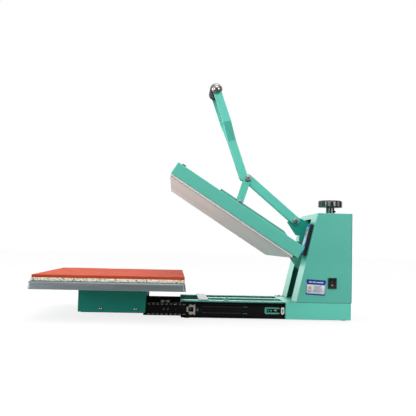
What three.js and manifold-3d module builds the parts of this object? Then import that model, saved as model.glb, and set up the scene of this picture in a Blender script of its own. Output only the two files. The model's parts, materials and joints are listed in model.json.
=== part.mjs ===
// A slide-out clamshell heat press: base with two drawer slides, housing, hinged upper platen,
// bent lever with a toggle link, pressure screw and a drawer that carries the lower platen.
// Millimetres, +Z up, +Y towards the back, +X to the operator's right.
// The origin is the middle of the footprint, on the floor.
import * as THREE from "three";
import { mergeVertices } from "three/addons/utils/BufferGeometryUtils.js";
import Module from "manifold-3d";

const wasm = await Module();
wasm.setup();

// ---------------------------------------------------------------- driving dimensions

const GAP = 0.3; // clearance between touching parts
const FRONT = -451.6; // front edge of the lower platen, drawer out
const BACK = 451.6; // rearmost face, on the power inlet

const FOOT_HEIGHT = 3;
const FOOT = { radius: 10, x: 96, front: -25, rear: 432 };
const RAIL_FRONT = -43;
const RAIL_TOP = 52;
const RAIL_OUTER = 112; // half width over the two rails
const RAIL_FLANGE = 26;
const RAIL_SLOT = { in: 5, out: 9, front: 112, rear: 168 }; // in and out from the flange's edge
const SHEET = 2;
const CENTRE_BAR = { half: 14, front: 8.2, thickness: 2.5 };
const CROSS_BAR = { width: 28, thickness: 2.2 };

const BASE_BOX_FRONT = 258;
const BASE_BOX_REAR = 448.5;
const BASE_BOX_OPEN_HALF = 80; // half width of the opening underneath
const HOUSING_HALF = 125;
const HOUSING_TOP = 311.5;
const HOUSING_FOOT_FRONT = 288; // front face at the bottom of the housing
const HOUSING_TOP_FRONT = 349; // front face at the top of the housing
const HOUSING_WALL = 1.5;
const SLOT_HALF = 45;
const SLOT_TOP = 296;

const HINGE = { y: 340.8, z: 137 }; // upper platen hinge
const LEVER_PIVOT = { y: 302.3, z: 291.1 };
const ELBOW = { y: 153.6, z: 417.0 };
const LINK_FOOT = { y: 129.9, z: 342.9 };
const GRIP = { y: 49.6, z: 685.8 };

const OPEN_ANGLE = THREE.MathUtils.degToRad(32.6); // tilt of the open upper platen
const COVER = { y: -60.9, z: 432.5, half: 256, length: 411.3, height: 35.4 };
const HEAT_PLATE = { start: 2.6, end: 397.3, half: 253, bottom: -44, thickness: 15 };
const BEAM = { start: 143, end: 371, height: 32, half: 13, wall: 5 };
const HINGE_BOSS = 16;
const HINGE_SHAFT = { radius: 6, half: 34 };
const FRAME_PLATE = { setBack: 22, top: 300, rear: 438, inner: 24, outer: 28 };

const KNOB_Y = 413.8;
const KNOB_RADIUS = 37.8;
const KNOB = { top: 357, collarTop: 335.3, collarRadius: 13.2, screwEnd: 212 };
const SCREW_RADIUS = 6;

const PAD = { half: 252, front: -441.5, rear: -35.1, top: 124.5, thickness: 8 };
const TRAY = {
  half: 259, front: FRONT, rear: -32.2, top: 107.5, bottom: 85.3, sheet: 3, roll: 6, corner: 9,
  flare: 2, // how far the skirt leans out below the rolled edge
};
const FOAM_BOTTOM = TRAY.top + GAP;
const BOX = {
  half: 128.3, front: -334.3, rear: -140.2, rearFoot: -144.4, bottom: 15.4, wall: 2.5, hem: 63,
};

const SLIDE_MID_Z = 26; // height of the slides' centre line
const SLIDE_OUTER = { front: -43, rear: 257.5, height: 45 };
const SLIDE_MIDDLE = { front: -150, rear: 146, height: 35 };
const SLIDE_INNER = { front: -326, rear: -29, height: 24 };
const SLIDE_SHEET = 1.5;

const PLATE = 5; // lever bar thickness
const LEVER_IN = 8.5; // inner face of the lower lever bars
const LINK_IN = 14.6;
const LINK_PLATE = 4;
const BRACKET_IN = 3.2;
const BRACKET_PLATE = 4.5;
const BAR_WIDTH = 24.5;
const HANDLE_LENGTH = 278; // from the grip down to the elbow
const GRIP_SPREAD = 40; // inner face of the bars beside the grip
const GRIP_RADIUS = 18.5;
const DOME_RADIUS = 15.2;
const BOLT_RADIUS = 5;

const SWITCH = { y: 392.5, z: 108.7 };
const ROCKER_TILT = THREE.MathUtils.degToRad(8);
const INLET = { x: -60, z: 100 };
const LABEL = { y: 344.7, z: 96, halfLength: 28.8, halfHeight: 22, tilt: -3.2 };
const CONTROLLER = { x: 88.5, z: 232, halfWidth: 21.5, halfLength: 47, depth: 11 };

// ---------------------------------------------------------------- materials

const finish = (color, roughness, metalness) =>
  new THREE.MeshStandardMaterial({ color, roughness, metalness });
const paint = finish(0x56b39f, 0.45, 0.0);
const leverPaint = finish(0x62c4b3, 0.42, 0.0);
const darkPaint = finish(0x1f6b5c, 0.5, 0.0);
const zinc = finish(0xb9bcb8, 0.4, 0.9);
const steel = finish(0xa6a6a4, 0.3, 1.0);
const blackSteel = finish(0x101112, 0.5, 0.4);
const aluminium = finish(0x7d8586, 0.35, 0.9);
const castAluminium = finish(0xb5ada8, 0.6, 0.5);
const blackPlastic = finish(0x151616, 0.5, 0.0);
const whitePlastic = finish(0xe8e6e2, 0.5, 0.0);
const bluePlastic = finish(0x2a66b8, 0.4, 0.0);
const rubber = finish(0x1c1d1e, 0.85, 0.0);
const redSilicone = finish(0xc4553f, 0.75, 0.0);
const foam = finish(0xc9c3b3, 0.95, 0.0);
const boardBrown = finish(0x4a342a, 0.9, 0.0);

// ---------------------------------------------------------------- solids

function solid(geometry) {
  const plain = geometry.index ? geometry.toNonIndexed() : geometry.clone();
  plain.deleteAttribute("normal");
  plain.deleteAttribute("uv");
  const merged = mergeVertices(plain, 1e-4);
  return new wasm.Manifold(
    new wasm.Mesh({
      numProp: 3,
      vertProperties: merged.attributes.position.array,
      triVerts: new Uint32Array(merged.index.array),
    }),
  );
}

function geometryOf(body) {
  const mesh = body.getMesh();
  const geometry = new THREE.BufferGeometry();
  geometry.setAttribute("position", new THREE.BufferAttribute(mesh.vertProperties, 3));
  geometry.setIndex(new THREE.BufferAttribute(mesh.triVerts, 1));
  return geometry;
}

const union = (first, ...rest) => rest.reduce((whole, piece) => whole.add(piece), first);
const cut = (first, ...rest) => rest.reduce((whole, piece) => whole.subtract(piece), first);

function box(x0, x1, y0, y1, z0, z1) {
  const geometry = new THREE.BoxGeometry(x1 - x0, y1 - y0, z1 - z0);
  return solid(geometry.translate((x0 + x1) / 2, (y0 + y1) / 2, (z0 + z1) / 2));
}

function shapeOf(points) {
  return new THREE.Shape(points.map(([a, b]) => new THREE.Vector2(a, b)));
}

function extrude(shape, depth, curveSegments = 8) {
  return new THREE.ExtrudeGeometry(shape, { depth, bevelEnabled: false, curveSegments });
}

// Outline in (y, z), extruded from x0 to x1.
function alongX(shape, x0, x1) {
  const turn = new THREE.Matrix4().set(0, 0, 1, x0, 1, 0, 0, 0, 0, 1, 0, 0, 0, 0, 0, 1);
  return solid(extrude(shape, x1 - x0).applyMatrix4(turn));
}

// Outline in (x, z), extruded from y0 to y1.
function alongY(shape, y0, y1) {
  return solid(extrude(shape, y1 - y0).rotateX(Math.PI / 2).translate(0, y1, 0));
}

// Outline in (x, y), extruded from z0 to z1.
function alongZ(shape, z0, z1) {
  return solid(extrude(shape, z1 - z0).translate(0, 0, z0));
}

function rodX(centre, radius, x0, x1, sides = 24) {
  const geometry = new THREE.CylinderGeometry(radius, radius, x1 - x0, sides);
  return solid(geometry.rotateZ(Math.PI / 2).translate((x0 + x1) / 2, centre.y, centre.z));
}

function rodZ(x, y, radius, z0, z1, sides = 24) {
  const geometry = new THREE.CylinderGeometry(radius, radius, z1 - z0, sides);
  return solid(geometry.rotateX(Math.PI / 2).translate(x, y, (z0 + z1) / 2));
}

// A bar with round ends between two points of the (y, z) plane.
function capsule(from, to, radius, x0, x1) {
  const along = Math.atan2(to.z - from.z, to.y - from.y);
  const shape = new THREE.Shape();
  shape.absarc(to.y, to.z, radius, along - Math.PI / 2, along + Math.PI / 2, false);
  shape.absarc(from.y, from.z, radius, along + Math.PI / 2, along + 1.5 * Math.PI, false);
  shape.closePath();
  return alongX(shape, x0, x1);
}

function roundedRectangle(a0, a1, b0, b1, radius) {
  const shape = new THREE.Shape();
  shape.absarc(a1 - radius, b0 + radius, radius, -Math.PI / 2, 0, false);
  shape.absarc(a1 - radius, b1 - radius, radius, 0, Math.PI / 2, false);
  shape.absarc(a0 + radius, b1 - radius, radius, Math.PI / 2, Math.PI, false);
  shape.absarc(a0 + radius, b0 + radius, radius, Math.PI, 1.5 * Math.PI, false);
  shape.closePath();
  return shape;
}

// The same solid on the other side of the middle plane.
const mirrored = (body) => body.mirror([1, 0, 0]);

const group = new THREE.Group();

function place(parent, name, body, material) {
  const mesh = new THREE.Mesh(geometryOf(body), material);
  mesh.name = name;
  parent.add(mesh);
  return mesh;
}

function placePair(parent, name, body, material) {
  place(parent, `${name}_right`, body, material);
  place(parent, `${name}_left`, mirrored(body), material);
}

// ---------------------------------------------------------------- base

function addBase() {
  const inner = RAIL_OUTER - RAIL_FLANGE;
  const web = RAIL_OUTER - SHEET;
  const channel = shapeOf([
    [inner, FOOT_HEIGHT],
    [RAIL_OUTER, FOOT_HEIGHT],
    [RAIL_OUTER, RAIL_TOP],
    [inner, RAIL_TOP],
    [inner, RAIL_TOP - SHEET],
    [web, RAIL_TOP - SHEET],
    [web, FOOT_HEIGHT + SHEET],
    [inner, FOOT_HEIGHT + SHEET],
  ]);
  const slot = RAIL_SLOT;
  const rail = cut(
    alongY(channel, RAIL_FRONT, BASE_BOX_FRONT - GAP),
    box(inner + slot.in, inner + slot.out, slot.front, slot.rear, RAIL_TOP - 2 * SHEET, RAIL_TOP + 1),
  );
  placePair(group, "base_rail", rail, paint);

  const { half, front, thickness } = CENTRE_BAR;
  place(group, "base_centre_bar",
    box(-half, half, front, BASE_BOX_FRONT - GAP, RAIL_TOP - thickness, RAIL_TOP), paint);
  const crossBottom = RAIL_TOP + GAP;
  const crossTop = crossBottom + CROSS_BAR.thickness;
  place(group, "base_cross_bar",
    box(-RAIL_OUTER, RAIL_OUTER, front, front + CROSS_BAR.width, crossBottom, crossTop), zinc);

  const w = HOUSING_HALF;
  const boxTop = RAIL_TOP - GAP;
  const shell = cut(
    box(-w, w, BASE_BOX_FRONT, BASE_BOX_REAR, FOOT_HEIGHT, boxTop),
    box(-w + SHEET, w - SHEET, BASE_BOX_FRONT + SHEET, BASE_BOX_REAR - SHEET,
      FOOT_HEIGHT + SHEET, boxTop - SHEET),
    box(-BASE_BOX_OPEN_HALF, BASE_BOX_OPEN_HALF, BASE_BOX_FRONT + SHEET, BASE_BOX_REAR - SHEET,
      0, boxTop - SHEET),
  );
  place(group, "base_box", shell, paint);

  for (const [end, y] of Object.entries({ front: FOOT.front, rear: FOOT.rear })) {
    const foot = rodZ(FOOT.x, y, FOOT.radius, 0, FOOT_HEIGHT - GAP, 20);
    placePair(group, `foot_${end}`, foot, rubber);
  }
}

// ---------------------------------------------------------------- housing

const frontSlope = (HOUSING_TOP_FRONT - HOUSING_FOOT_FRONT) / (HOUSING_TOP - RAIL_TOP);
const frontFaceY = (z) => HOUSING_FOOT_FRONT + (z - RAIL_TOP) * frontSlope;

function addHousing() {
  const rear = BASE_BOX_REAR;
  const t = HOUSING_WALL;
  const outer = shapeOf([
    [HOUSING_FOOT_FRONT, RAIL_TOP],
    [rear, RAIL_TOP],
    [rear, HOUSING_TOP],
    [HOUSING_TOP_FRONT, HOUSING_TOP],
  ]);
  const inner = shapeOf([
    [frontFaceY(RAIL_TOP - 5) + t, RAIL_TOP - 5],
    [rear + 5, RAIL_TOP - 5],
    [rear + 5, HOUSING_TOP - t],
    [frontFaceY(HOUSING_TOP - t) + t, HOUSING_TOP - t],
  ]);
  const shell = cut(
    alongX(outer, -HOUSING_HALF, HOUSING_HALF),
    alongX(inner, -HOUSING_HALF + t, HOUSING_HALF - t),
    box(-SLOT_HALF, SLOT_HALF, HOUSING_FOOT_FRONT - 5, HOUSING_TOP_FRONT + 12, 0, SLOT_TOP),
    rodZ(0, KNOB_Y, 9, HOUSING_TOP - 5, HOUSING_TOP + 5),
    box(100, 130, SWITCH.y - 10.8, SWITCH.y + 10.8, SWITCH.z - 13.8, SWITCH.z + 13.8),
  );
  place(group, "housing_shell", shell, paint);

  const inletHole = box(INLET.x - 14, INLET.x + 14, rear - 5, rear + 5, INLET.z - 10, INLET.z + 10);
  const panel = cut(
    box(-HOUSING_HALF, HOUSING_HALF, rear + GAP, rear + GAP + t, RAIL_TOP, HOUSING_TOP),
    inletHole,
  );
  place(group, "rear_panel", panel, paint);

  const { setBack, top, rear: frameRear, inner: frameIn, outer: frameOut } = FRAME_PLATE;
  const frame = shapeOf([
    [frontFaceY(RAIL_TOP) + setBack, RAIL_TOP],
    [frontFaceY(top) + setBack, top],
    [frameRear, top],
    [frameRear, RAIL_TOP],
  ]);
  const bore = rodX(HINGE, HINGE_SHAFT.radius + GAP, frameIn - 4, frameOut + 4);
  placePair(group, "frame_plate", cut(alongX(frame, frameIn, frameOut), bore), paint);
  place(group, "hinge_shaft",
    rodX(HINGE, HINGE_SHAFT.radius, -HINGE_SHAFT.half, HINGE_SHAFT.half), steel);
  place(group, "relay_module", relayModule(), blackPlastic);
}

// A solid-state relay on the left wall, with cooling fins on its inner face.
function relayModule() {
  const body = { x0: -118, x1: -107, y0: 380, y1: 430, z0: 75, z1: 145 };
  const fin = { count: 6, pitch: 8, thickness: 3, reach: 11, margin: 5 };
  const fins = [];
  for (let i = 0; i < fin.count; i++) {
    const y = body.y0 + 4 + i * fin.pitch;
    fins.push(box(body.x1 - 1, body.x1 + fin.reach, y, y + fin.thickness,
      body.z0 + fin.margin, body.z1 - fin.margin));
  }
  return union(box(body.x0, body.x1, body.y0, body.y1, body.z0, body.z1), ...fins);
}

// ---------------------------------------------------------------- power switch, inlet, label

function addElectrics() {
  const { y, z } = SWITCH;
  const w = HOUSING_HALF;
  const bezel = cut(
    union(
      box(w + GAP, w + 2.5, y - 12.8, y + 12.8, z - 15.5, z + 15.5),
      box(w - 20, w + 1, y - 10.4, y + 10.4, z - 13.4, z + 13.4),
    ),
    box(w - 8, w + 5, y - 9, y + 9, z - 12, z + 12),
  );
  place(group, "switch_bezel", bezel, blackPlastic);

  const rockerWidth = 8.5;
  const rockerOutline = shapeOf([[-11, 0], [-11, 3.6], [0, 1.6], [11, 3.6], [11, 0], [0, -6]]);
  const rocker = solid(
    extrude(rockerOutline, 2 * rockerWidth)
      .translate(0, 0, -rockerWidth)
      .rotateX(Math.PI / 2)
      .rotateY(Math.PI / 2 + ROCKER_TILT)
      .translate(w, y, z),
  );
  place(group, "power_rocker", rocker, blackPlastic);

  const { halfLength, halfHeight } = LABEL;
  const label = alongX(roundedRectangle(-halfLength, halfLength, -halfHeight, halfHeight, 4), 0, 0.6);
  const labelMesh = place(group, "rating_label", label, whitePlastic);
  labelMesh.position.set(w + GAP, LABEL.y, LABEL.z);
  labelMesh.rotation.x = THREE.MathUtils.degToRad(LABEL.tilt);

  const inletY = BASE_BOX_REAR + GAP + HOUSING_WALL;
  const inlet = cut(
    union(
      box(INLET.x - 24, INLET.x + 24, inletY + GAP, BACK, INLET.z - 13, INLET.z + 13),
      box(INLET.x - 13.5, INLET.x + 13.5, inletY - 22, inletY + 1, INLET.z - 9.6, INLET.z + 9.6),
    ),
    box(INLET.x - 12, INLET.x + 12, inletY - 18, inletY + 9, INLET.z - 8, INLET.z + 8),
  );
  place(group, "power_inlet", inlet, blackPlastic);
}

// ---------------------------------------------------------------- controller

function addController() {
  const { halfWidth, halfLength, depth } = CONTROLLER;
  const controller = new THREE.Group();
  controller.position.set(CONTROLLER.x, frontFaceY(CONTROLLER.z), CONTROLLER.z);
  controller.rotation.x = Math.PI / 2 - Math.atan(frontSlope);
  group.add(controller);

  const caseShape = roundedRectangle(-halfWidth, halfWidth, -halfLength, halfLength, 3);
  place(controller, "controller_case", alongZ(caseShape, GAP, depth), blackPlastic);

  const buttons = [-12, 0, 12];
  const buttonY = -32;
  const panel = { x: halfWidth - 2.5, y: halfLength - 2.5, back: depth + GAP, face: depth + 1.4 };
  const panelShape = roundedRectangle(-panel.x, panel.x, -panel.y, panel.y, 2);
  const holes = buttons.map((x) => rodZ(x, buttonY, 5, depth - 1, depth + 3));
  place(controller, "controller_panel",
    cut(alongZ(panelShape, panel.back, panel.face), ...holes), bluePlastic);
  buttons.forEach((x, i) => {
    const button = rodZ(x, buttonY, 4.5, depth + 1.2, depth + 3, 20);
    place(controller, `controller_button_${i + 1}`, button, whitePlastic);
  });
}

// ---------------------------------------------------------------- upper platen

// In the platen group, y runs from the cover's front edge to its rear edge and z is up from
// the cover's top.
const upper = new THREE.Group();
upper.position.set(0, COVER.y, COVER.z);
upper.rotation.x = -OPEN_ANGLE;
group.add(upper);

function toPlaten(point) {
  const y = point.y - COVER.y;
  const z = point.z - COVER.z;
  const c = Math.cos(OPEN_ANGLE);
  const s = Math.sin(OPEN_ANGLE);
  return { y: c * y - s * z, z: s * y + c * z };
}

// The point where a line from a point touches a circle; side is 1 for left of the line, -1 right.
function tangentPoint(from, centre, radius, side) {
  const dy = centre.y - from.y;
  const dz = centre.z - from.z;
  const distance = Math.hypot(dy, dz);
  const angle = Math.atan2(dz, dy) + side * Math.asin(radius / distance);
  const reach = Math.sqrt(distance ** 2 - radius ** 2);
  return [from.y + reach * Math.cos(angle), from.z + reach * Math.sin(angle)];
}

function addUpperPlaten() {
  const hinge = toPlaten(HINGE);
  const underside = { y: 439, z: -27 };
  const topCorner = { y: BEAM.end, z: BEAM.height };
  const side = shapeOf([
    [BEAM.start, 0.4],
    [COVER.length + 1.2, 0.4],
    [COVER.length + 1.2, -16],
    [underside.y, underside.z],
    tangentPoint(underside, hinge, HINGE_BOSS, -1),
    [hinge.y, hinge.z],
    tangentPoint(topCorner, hinge, HINGE_BOSS, 1),
    [BEAM.end, BEAM.height],
    [BEAM.start, BEAM.height],
  ]);
  const inside = BEAM.half - BEAM.wall;
  const hub = 23.6;
  const beam = cut(
    union(
      cut(
        union(alongX(side, -BEAM.half, BEAM.half), rodX(hinge, HINGE_BOSS, -BEAM.half, BEAM.half)),
        box(-inside, inside, BEAM.start - 5, hinge.y + 30, -60, BEAM.height - 2.5),
      ),
      rodX(hinge, 11, -hub, hub),
    ),
    rodX(hinge, HINGE_SHAFT.radius + GAP, -hub - 5, hub + 5),
  );
  place(upper, "carrier_beam", beam, paint);
  place(upper, "beam_end_cap",
    box(-BEAM.half, BEAM.half, BEAM.start - 3.4, BEAM.start - GAP, 0.4, BEAM.height), blackPlastic);

  const t = 1.5;
  const { half, length, height } = COVER;
  const cover = cut(
    box(-half, half, 0, length, -height, 0),
    box(-half + t, half - t, t, length - t, -height - 5, -t),
  );
  place(upper, "heat_cover", cover, paint);

  const plate = HEAT_PLATE;
  const chamfer = 2.5;
  const plateProfile = shapeOf([
    [-plate.half + chamfer, plate.bottom],
    [plate.half - chamfer, plate.bottom],
    [plate.half, plate.bottom + chamfer],
    [plate.half, plate.bottom + plate.thickness],
    [-plate.half, plate.bottom + plate.thickness],
    [-plate.half, plate.bottom + chamfer],
  ]);
  place(upper, "heating_plate", alongY(plateProfile, plate.start, plate.end), castAluminium);

  const plateTop = plate.bottom + plate.thickness + GAP;
  const boardHalf = half - 5;
  const boardTop = plateTop + 8;
  const board = union(
    box(-boardHalf, boardHalf, 4, length - 4, plateTop, boardTop),
    box(-boardHalf, boardHalf, plate.end + 1, length - 4, -33.5, boardTop),
  );
  place(upper, "insulation_board", board, boardBrown);

  for (const [end, y] of [["front", 17.5], ["rear", 392.5]]) {
    placePair(upper, `cover_cap_${end}`, rodZ(240, y, 6, GAP, 4.3, 16), blackPlastic);
  }
}

// ---------------------------------------------------------------- lever

const handleDirection = new THREE.Vector2(ELBOW.y - GRIP.y - 9.9, ELBOW.z - GRIP.z).normalize();
const handlePoint = (t) => ({
  y: GRIP.y + handleDirection.x * t,
  z: GRIP.z + handleDirection.y * t,
});

// Edge outline of a bent flat bar: t runs down the handle and x is the distance from the middle.
function handleBar() {
  const top = -7;
  const bendStart = 103;
  const bendEnd = 160;
  const bottom = HANDLE_LENGTH;
  const outer = 1.3; // extra run of the outer face round the bend
  const shape = shapeOf([
    [top, GRIP_SPREAD],
    [bendStart, GRIP_SPREAD],
    [bendEnd, LEVER_IN],
    [bottom, LEVER_IN],
    [bottom, LEVER_IN + PLATE],
    [bendEnd + outer, LEVER_IN + PLATE],
    [bendStart + outer, GRIP_SPREAD + PLATE],
    [top, GRIP_SPREAD + PLATE],
  ]);
  const width = BAR_WIDTH / 2;
  const d = handleDirection;
  // local x runs down the handle, local y outwards along X, local z across the bar
  const turn = new THREE.Matrix4().makeBasis(
    new THREE.Vector3(0, d.x, d.y),
    new THREE.Vector3(1, 0, 0),
    new THREE.Vector3(0, d.y, -d.x),
  );
  turn.setPosition(0, GRIP.y, GRIP.z);
  return solid(extrude(shape, 2 * width).translate(0, 0, -width).applyMatrix4(turn));
}

function addLever() {
  const armOffset = { y: 1.3, z: 1.5 }; // the arm lies a little above the line of its pivots
  const armFrom = { y: ELBOW.y + armOffset.y, z: ELBOW.z + armOffset.z };
  const armTo = { y: LEVER_PIVOT.y + armOffset.y, z: LEVER_PIVOT.z + armOffset.z };
  const x0 = LEVER_IN;
  const x1 = LEVER_IN + PLATE;
  const bar = cut(
    union(
      handleBar(),
      rodX(handlePoint(HANDLE_LENGTH), BAR_WIDTH / 2, x0, x1, 32),
      capsule(armFrom, armTo, 12.6, x0, x1),
    ),
    rodX(GRIP, 4 + GAP, GRIP_SPREAD - 5, GRIP_SPREAD + 10),
    rodX(ELBOW, BOLT_RADIUS + GAP, 0, 20),
    rodX(LEVER_PIVOT, BOLT_RADIUS + GAP, 0, 20),
  );
  placePair(group, "lever_bar", bar, leverPaint);

  const tube = LEVER_IN - GAP;
  const spacer = cut(rodX(ELBOW, 8, -tube, tube), rodX(ELBOW, BOLT_RADIUS + GAP, -20, 20));
  place(group, "lever_spacer", spacer, zinc);
  place(group, "elbow_bolt", bolt(ELBOW, LINK_IN + LINK_PLATE + GAP, 10, 6.5), steel);

  const gripHalf = GRIP_SPREAD - GAP;
  const grip = cut(rodX(GRIP, GRIP_RADIUS, -gripHalf, gripHalf, 32), rodX(GRIP, 4 + GAP, -60, 60));
  place(group, "grip", grip, rubber);
  place(group, "grip_bolt", gripBolt(), steel);
}

// A through bolt with the same domed head at both ends.
function bolt(centre, headX, headRadius, headHeight, shank = BOLT_RADIUS) {
  const profile = [new THREE.Vector2(0, -headX - headHeight)];
  const domeSteps = 4;
  for (let i = 1; i <= domeSteps; i++) {
    const a = (i / domeSteps) * (Math.PI / 2);
    profile.push(new THREE.Vector2(headRadius * Math.sin(a), -headX - headHeight * Math.cos(a)));
  }
  profile.push(new THREE.Vector2(shank, -headX));
  const upperHalf = profile.map((p) => new THREE.Vector2(p.x, -p.y)).reverse();
  const lathe = new THREE.LatheGeometry([...profile, ...upperHalf], 24);
  return solid(lathe.rotateZ(-Math.PI / 2).translate(0, centre.y, centre.z));
}

function gripBolt() {
  const headX = GRIP_SPREAD + PLATE + GAP;
  return bolt(GRIP, headX, DOME_RADIUS, 12, 4);
}

function addLink() {
  const x0 = LINK_IN;
  const x1 = LINK_IN + LINK_PLATE;
  const plate = cut(
    capsule(ELBOW, LINK_FOOT, 10.5, x0, x1),
    rodX(ELBOW, BOLT_RADIUS + GAP, 10, 25),
    rodX(LINK_FOOT, BOLT_RADIUS + GAP, 10, 25),
  );
  placePair(group, "link_plate", plate, leverPaint);
  const stub = union(
    rodX(LINK_FOOT, BOLT_RADIUS, BEAM.half + 0.6, x1 + 2),
    rodX(LINK_FOOT, 8.5, x1 + GAP, x1 + 4),
    rodX(LINK_FOOT, 6.5, x1 + 3, x1 + 6),
  );
  placePair(group, "link_bolt", stub, steel);
}

// ---------------------------------------------------------------- pressure adjuster

function addPressureAdjuster() {
  const { y, z } = LEVER_PIVOT;
  const outline = shapeOf([
    [y - 22, z - 3],
    [y + 6, z - 44],
    [y + 16, z - 44],
    [y + 16, z - 100],
    [y + 42, z - 100],
    [y + 50, z - 56],
    [436, z - 56],
    [436, z - 12],
    [y + 60, z - 9],
    [y + 42, z - 2],
    [y + 8, z + 12],
  ]);
  const x0 = BRACKET_IN;
  const x1 = BRACKET_IN + BRACKET_PLATE;
  const plate = union(
    alongX(outline, x0, x1),
    capsule(LEVER_PIVOT, { y: y + 4, z: z - 2 }, 13.5, x0, x1),
  );
  const nut = { half: 16, front: 396, rear: 434, drop: 54, height: 38 }; // screw's nut block
  const nutBottom = z - nut.drop;
  const block = box(-nut.half, nut.half, nut.front, nut.rear, nutBottom, nutBottom + nut.height);
  const bracket = cut(
    union(plate, block, mirrored(plate)),
    rodX(LEVER_PIVOT, BOLT_RADIUS + GAP, -30, 30),
    rodZ(0, KNOB_Y, SCREW_RADIUS + GAP, 150, 330),
  );
  place(group, "pressure_bracket", bracket, darkPaint);
  place(group, "lever_pivot_bolt", bolt(LEVER_PIVOT, LEVER_IN + PLATE + GAP, 9, 6), steel);

  const screw = union(
    rodZ(0, KNOB_Y, SCREW_RADIUS, KNOB.screwEnd, KNOB.collarTop),
    rodZ(0, KNOB_Y, KNOB.collarRadius, HOUSING_TOP + GAP, KNOB.collarTop),
  );
  place(group, "pressure_screw", screw, blackSteel);
  place(group, "pressure_knob", knob(KNOB.collarTop + GAP, KNOB.top), blackPlastic);
}

// Star knob: a round body with eight rounded lobes.
function knob(z0, z1) {
  const lobes = 8;
  const shape = new THREE.Shape();
  const steps = lobes * 8;
  for (let i = 0; i < steps; i++) {
    const a = (i / steps) * 2 * Math.PI;
    const radius = KNOB_RADIUS - 2.6 * (1 - Math.abs(Math.cos((a * lobes) / 2)) ** 0.6);
    const point = [radius * Math.cos(a), KNOB_Y + radius * Math.sin(a)];
    if (i === 0) shape.moveTo(...point);
    else shape.lineTo(...point);
  }
  shape.closePath();
  return alongZ(shape, z0, z1);
}

// ---------------------------------------------------------------- drawer

// A dish with rolled top edges and a skirt that leans out, drawn in by an inset.
function dish(inset, floor) {
  const { half, front, rear, top, roll, corner, flare } = TRAY;
  const points = [];
  const ring = (level, shrink) => {
    const outline = roundedRectangle(
      -half + shrink, half - shrink, front + shrink, rear - shrink, corner - shrink);
    outline.getPoints(5).forEach((p) => points.push([p.x, p.y, level]));
  };
  const steps = 5;
  const radius = roll - inset;
  ring(floor, inset);
  for (let i = 0; i <= steps; i++) {
    const a = (i / steps) * (Math.PI / 2);
    ring(top - roll + radius * Math.sin(a), inset + flare + radius * (1 - Math.cos(a)));
  }
  return wasm.Manifold.hull(points);
}

function addDrawer() {
  const tray = cut(dish(0, TRAY.bottom), dish(TRAY.sheet, TRAY.bottom - 1));
  place(group, "lower_platen", tray, aluminium);

  const padBottom = PAD.top - PAD.thickness;
  place(group, "foam_pad",
    box(-PAD.half - 1, PAD.half + 1, PAD.front - 1, PAD.rear, FOAM_BOTTOM, padBottom - GAP), foam);
  place(group, "silicone_pad",
    box(-PAD.half, PAD.half, PAD.front, PAD.rear, padBottom, PAD.top), redSilicone);

  // Inverted channel over the slides, closed at the front, with a short flange at the rear.
  const b = BOX;
  const boxTop = TRAY.top - TRAY.sheet - GAP;
  const side = shapeOf([
    [b.front, b.bottom],
    [b.rearFoot, b.bottom],
    [b.rear, boxTop],
    [b.front, boxTop],
  ]);
  const bracket = union(
    box(-b.half, b.half, b.front, b.rear, boxTop - b.wall, boxTop),
    alongX(side, b.half - b.wall, b.half),
    alongX(side, -b.half, -b.half + b.wall),
    box(-b.half, b.half, b.front, b.front + b.wall, b.bottom, boxTop),
    box(-b.half, b.half, b.rear - b.wall, b.rear, b.hem, boxTop),
  );
  place(group, "drawer_bracket", bracket, darkPaint);
}

// ---------------------------------------------------------------- drawer slides

// C profile: back plate at x, flanges towards +x or -x.
function slideProfile(back, reach, height, lip) {
  const t = SLIDE_SHEET;
  const towards = Math.sign(reach);
  const z0 = SLIDE_MID_Z - height / 2;
  const z1 = SLIDE_MID_Z + height / 2;
  const tip = back + reach;
  const points = [
    [back, z0],
    [tip, z0],
    [tip, z0 + t + lip],
    [tip - towards * t, z0 + t + lip],
    [tip - towards * t, z0 + t],
    [back + towards * t, z0 + t],
    [back + towards * t, z1 - t],
    [tip - towards * t, z1 - t],
    [tip - towards * t, z1 - t - lip],
    [tip, z1 - t - lip],
    [tip, z1],
    [back, z1],
  ];
  return shapeOf(towards > 0 ? points : points.reverse());
}

// A round-ended window through a slide's back plate.
function slideWindow(y0, y1, z0, z1, radius = Math.min(y1 - y0, z1 - z0) / 2 - 0.01) {
  return alongX(roundedRectangle(y0, y1, z0, z1, radius), 100, 140);
}

// Windows that line up through a slide's outer and middle members.
function sharedWindows(play) {
  const z = SLIDE_MID_Z;
  const window = (y0, y1, z0, z1) =>
    slideWindow(y0 - play, y1 + play, z + z0 - play, z + z1 + play);
  return [
    window(-18, -13.6, -1.2, 3.2),
    window(1.4, 7.9, -5, 5.2),
    window(13.4, 17.2, -1.9, 1.9),
    window(134.8, 148, 8, 11),
    window(134.8, 148, -11, -8),
    window(134.8, 138.8, -2, 2),
  ];
}

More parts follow.
